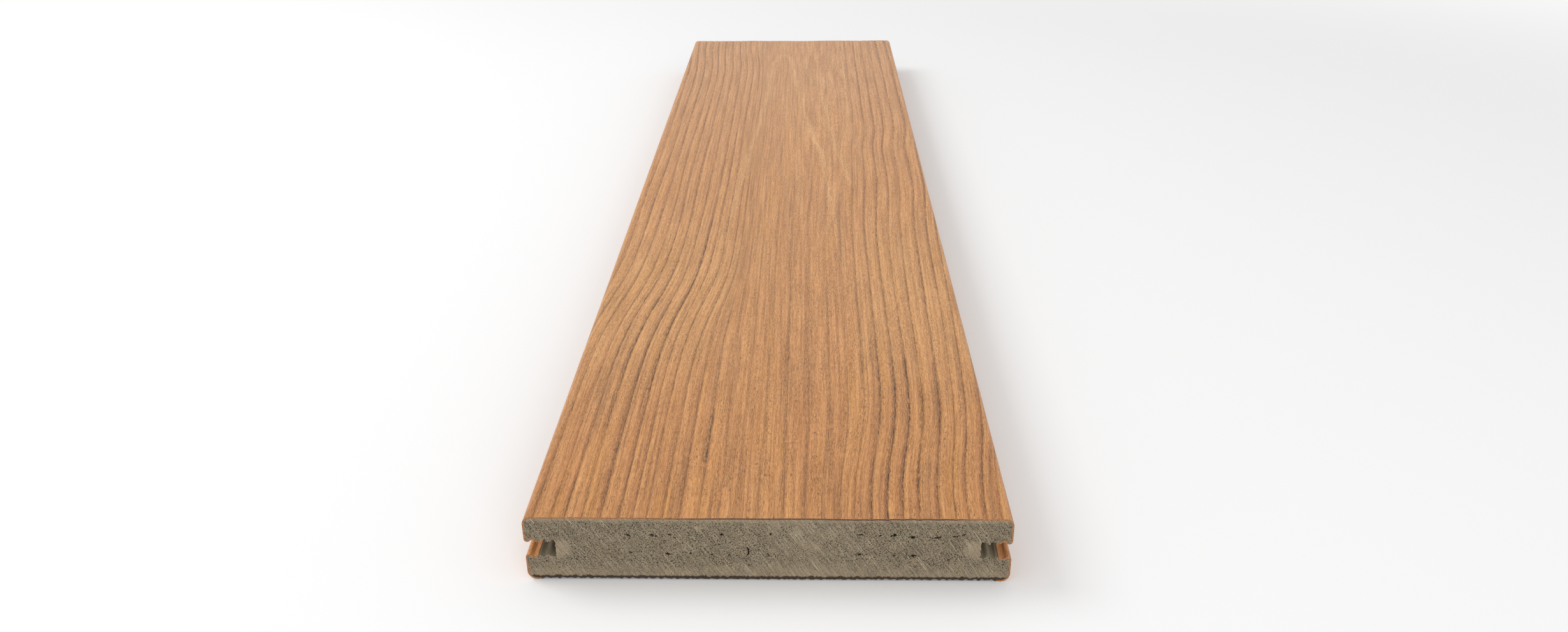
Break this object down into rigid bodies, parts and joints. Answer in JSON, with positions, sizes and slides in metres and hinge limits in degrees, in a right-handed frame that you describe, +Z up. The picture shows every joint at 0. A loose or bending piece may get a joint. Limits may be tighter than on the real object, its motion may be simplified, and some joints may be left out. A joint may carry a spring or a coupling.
{
  "type": "decking board",
  "caption": "Grooved decking board: foamed core under a thin embossed wood-grain cap, with fluted grooves along both edges for hidden deck clips and square sawn ends.",
  "frame": {"origin": "middle of the board's underside", "axes": "+X across the board, +Y along it away from the near end, +Z up through the embossed face"},
  "size_m": [0.14, 0.578, 0.022],
  "materials": {
    "foam": "sawn foamed plastic, fine dark pores",
    "cap": "embossed wood grain, satin"
  },
  "bodies": {
    "root": {"foam_core": "foam", "top_cap": "cap", "left_lip_cap": "cap", "right_lip_cap": "cap"}
  },
  "joints": []
}
